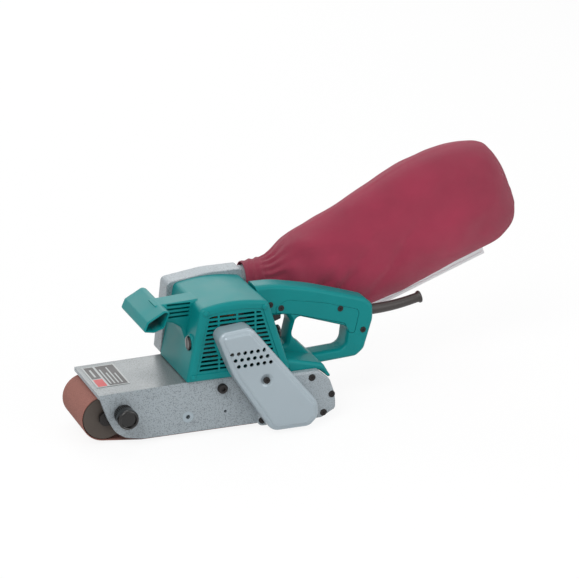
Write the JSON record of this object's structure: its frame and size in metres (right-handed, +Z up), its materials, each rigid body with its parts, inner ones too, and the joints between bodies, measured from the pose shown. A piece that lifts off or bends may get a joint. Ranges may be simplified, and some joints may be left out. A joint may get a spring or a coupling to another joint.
{
  "type": "belt sander",
  "caption": "Handheld belt sander with a cross-mounted motor, side belt drive, tracking knob, tension lever, closed rear handle with trigger and a sliding cloth dust bag",
  "frame": {"origin": "centre of the flat sanding face, on the belt's outer surface", "axes": "+X points to the rear handle, +Z up out of the work, -Y to the side with the belt drive and the tracking knob"},
  "size_m": [0.5649, 0.1816, 0.274],
  "materials": {
    "frame_silver": "hammered silver enamel",
    "cover_silver": "satin silver paint on pressed steel",
    "teal_plastic": "semi-gloss moulded",
    "black_plastic": "satin moulded",
    "dark_plastic": "matt moulded",
    "yellow_case": "matt moulded",
    "steel": "ground",
    "lamination": "stacked sheet steel",
    "dark_steel": "blackened",
    "alloy": "turned",
    "copper": "enamelled copper",
    "black_rubber": "satin",
    "abrasive": "cloth-backed abrasive grit",
    "bag_cloth": "woven cloth",
    "white_plastic": "extruded",
    "plate_foil": "printed foil"
  },
  "bodies": {
    "frame": {"main_frame": "frame_silver", "gear_case": "frame_silver", "platen": "steel", "platen_pad": "black_rubber", "graphite_sheet": "black_rubber", "sanding_belt": "abrasive", "lever_pin": "steel", "drum_bearings": "steel", "pinion_bearings": "steel", "drive_belt": "black_rubber", "belt_cover": "cover_silver", "belt_cover_screw": "dark_steel", "motor_housing": "teal_plastic", "motor_end_cover": "teal_plastic", "stator_core": "lamination", "field_coils": "copper", "motor_bearings": "steel", "brush_holders": "dark_plastic", "carbon_brushes": "black_rubber", "brush_springs": "steel", "brush_caps": "black_plastic", "fan_casing": "frame_silver", "fan_casing_cover": "frame_silver", "handle_body": "teal_plastic", "handle_cover": "teal_plastic", "switch_body": "black_plastic", "capacitor": "yellow_case", "cord_guard": "black_rubber", "cord_clamp": "black_plastic", "nameplate": "plate_foil", "handle_screws": "dark_steel", "case_screws": "dark_steel", "frame_bolt": "dark_steel"},
    "carriage": {"tension_carriage": "dark_steel", "tension_spring": "steel", "arm_pivot_pin": "steel"},
    "arm": {"roller_arm": "dark_steel", "front_roller_axle": "steel"},
    "roller": {"front_roller": "alloy", "front_roller_bearings": "steel"},
    "lever": {"tension_lever": "dark_steel"},
    "knob": {"tracking_knob": "black_plastic", "tracking_screw": "steel"},
    "drum": {"drum_core": "alloy", "drum_lagging": "black_rubber", "drum_shaft": "steel", "drum_gear": "steel"},
    "pinion": {"pinion_shaft": "steel", "large_pulley": "alloy"},
    "rotor": {"armature_shaft": "steel", "armature_core": "lamination", "commutator": "copper", "cooling_fan": "dark_plastic", "dust_fan": "dark_plastic", "small_pulley": "alloy"},
    "switch_trigger": {"trigger": "black_plastic"},
    "lock": {"lock_button": "black_plastic"},
    "bag": {"dust_bag": "bag_cloth", "bag_collar": "black_plastic"},
    "rail": {"bag_rail": "white_plastic"}
  },
  "joints": [
    {"name": "drum_spin", "type": "hinge", "parent": "frame", "child": "drum", "pos_m": [0.1125, 0, 0.029], "axis": [0, 1, 0], "continuous": true},
    {"name": "pinion_spin", "type": "hinge", "parent": "frame", "child": "pinion", "pos_m": [0.08554, -0.06, 0.04215], "axis": [0, 1, 0], "continuous": true},
    {"name": "motor_spin", "type": "hinge", "parent": "frame", "child": "rotor", "pos_m": [0.036, 0, 0.108], "axis": [0, 1, 0], "continuous": true},
    {"name": "tension_lever_turn", "type": "hinge", "parent": "frame", "child": "lever", "pos_m": [-0.033, 0.031, 0.031], "axis": [0, 0, 1], "range_deg": [0, 90]},
    {"name": "tension_slide", "type": "slide", "parent": "frame", "child": "carriage", "axis": [1, 0, 0], "range_m": [0, 0.005]},
    {"name": "tracking_knob_turn", "type": "hinge", "parent": "frame", "child": "knob", "pos_m": [-0.089, -0.06, 0.0395], "axis": [0, -1, 0], "range_deg": [-60, 60]},
    {"name": "arm_tilt", "type": "hinge", "parent": "carriage", "child": "arm", "pos_m": [-0.07, -0.0415, 0.032], "axis": [0, 0, 1], "range_deg": [-0.65, 0.65]},
    {"name": "front_roller_spin", "type": "hinge", "parent": "arm", "child": "roller", "pos_m": [-0.1066, 0, 0.0313], "axis": [0, 1, 0], "continuous": true},
    {"name": "trigger_pull", "type": "slide", "parent": "frame", "child": "switch_trigger", "axis": [0, 0, 1], "range_m": [0, 0.005], "stiffness_N_per_m": 400, "springref_m": -0.004},
    {"name": "lock_press", "type": "slide", "parent": "frame", "child": "lock", "axis": [0, -1, 0], "range_m": [0, 0.003], "stiffness_N_per_m": 300, "springref_m": -0.002},
    {"name": "bag_pull", "type": "slide", "parent": "frame", "child": "bag", "axis": [1, 0, 0], "range_m": [0, 0.035]},
    {"name": "rail_slide", "type": "slide", "parent": "bag", "child": "rail", "axis": [0.9385, 0, 0.3453], "range_m": [0, 0.17]}
  ],
  "couplings": [
    {"joint": "pinion_spin", "follows": "drum_spin", "ratio": -3},
    {"joint": "motor_spin", "follows": "drum_spin", "ratio": -7.5},
    {"joint": "front_roller_spin", "follows": "drum_spin", "ratio": 1.0892},
    {"joint": "tension_lever_turn", "follows": "tension_slide", "rad_per_m": 314.16},
    {"joint": "arm_tilt", "follows": "tracking_knob_turn", "ratio": 0.010471}
  ]
}
